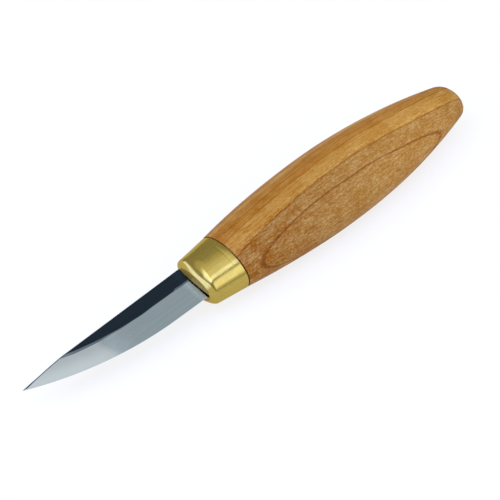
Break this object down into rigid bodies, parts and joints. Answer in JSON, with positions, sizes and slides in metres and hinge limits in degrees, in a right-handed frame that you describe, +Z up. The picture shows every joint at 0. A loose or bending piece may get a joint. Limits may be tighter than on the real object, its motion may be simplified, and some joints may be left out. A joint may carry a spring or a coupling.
{
  "type": "sloyd knife",
  "caption": "Short fixed-blade carving knife with wide ground bevels, an oval brass ferrule and a barrel-shaped wooden handle.",
  "frame": {"origin": "on the surface that the knife lies on, below the middle of its overall length", "axes": "+X along the knife from the tip to the butt, +Y towards the spine, +Z up, square to the blade's flats"},
  "size_m": [0.1938, 0.0334, 0.024],
  "materials": {
    "blade_steel": "ground bevels with fine grinding lines, smooth dark polished flats",
    "ferrule_brass": "drawn brass, polished, with fine scratches",
    "handle_wood": "oiled cherry, satin",
    "cured_adhesive": "cured epoxy, hidden inside the handle"
  },
  "bodies": {
    "root": {"blade": "blade_steel", "ferrule": "ferrule_brass", "handle": "handle_wood", "tang_bedding": "cured_adhesive"}
  },
  "joints": []
}
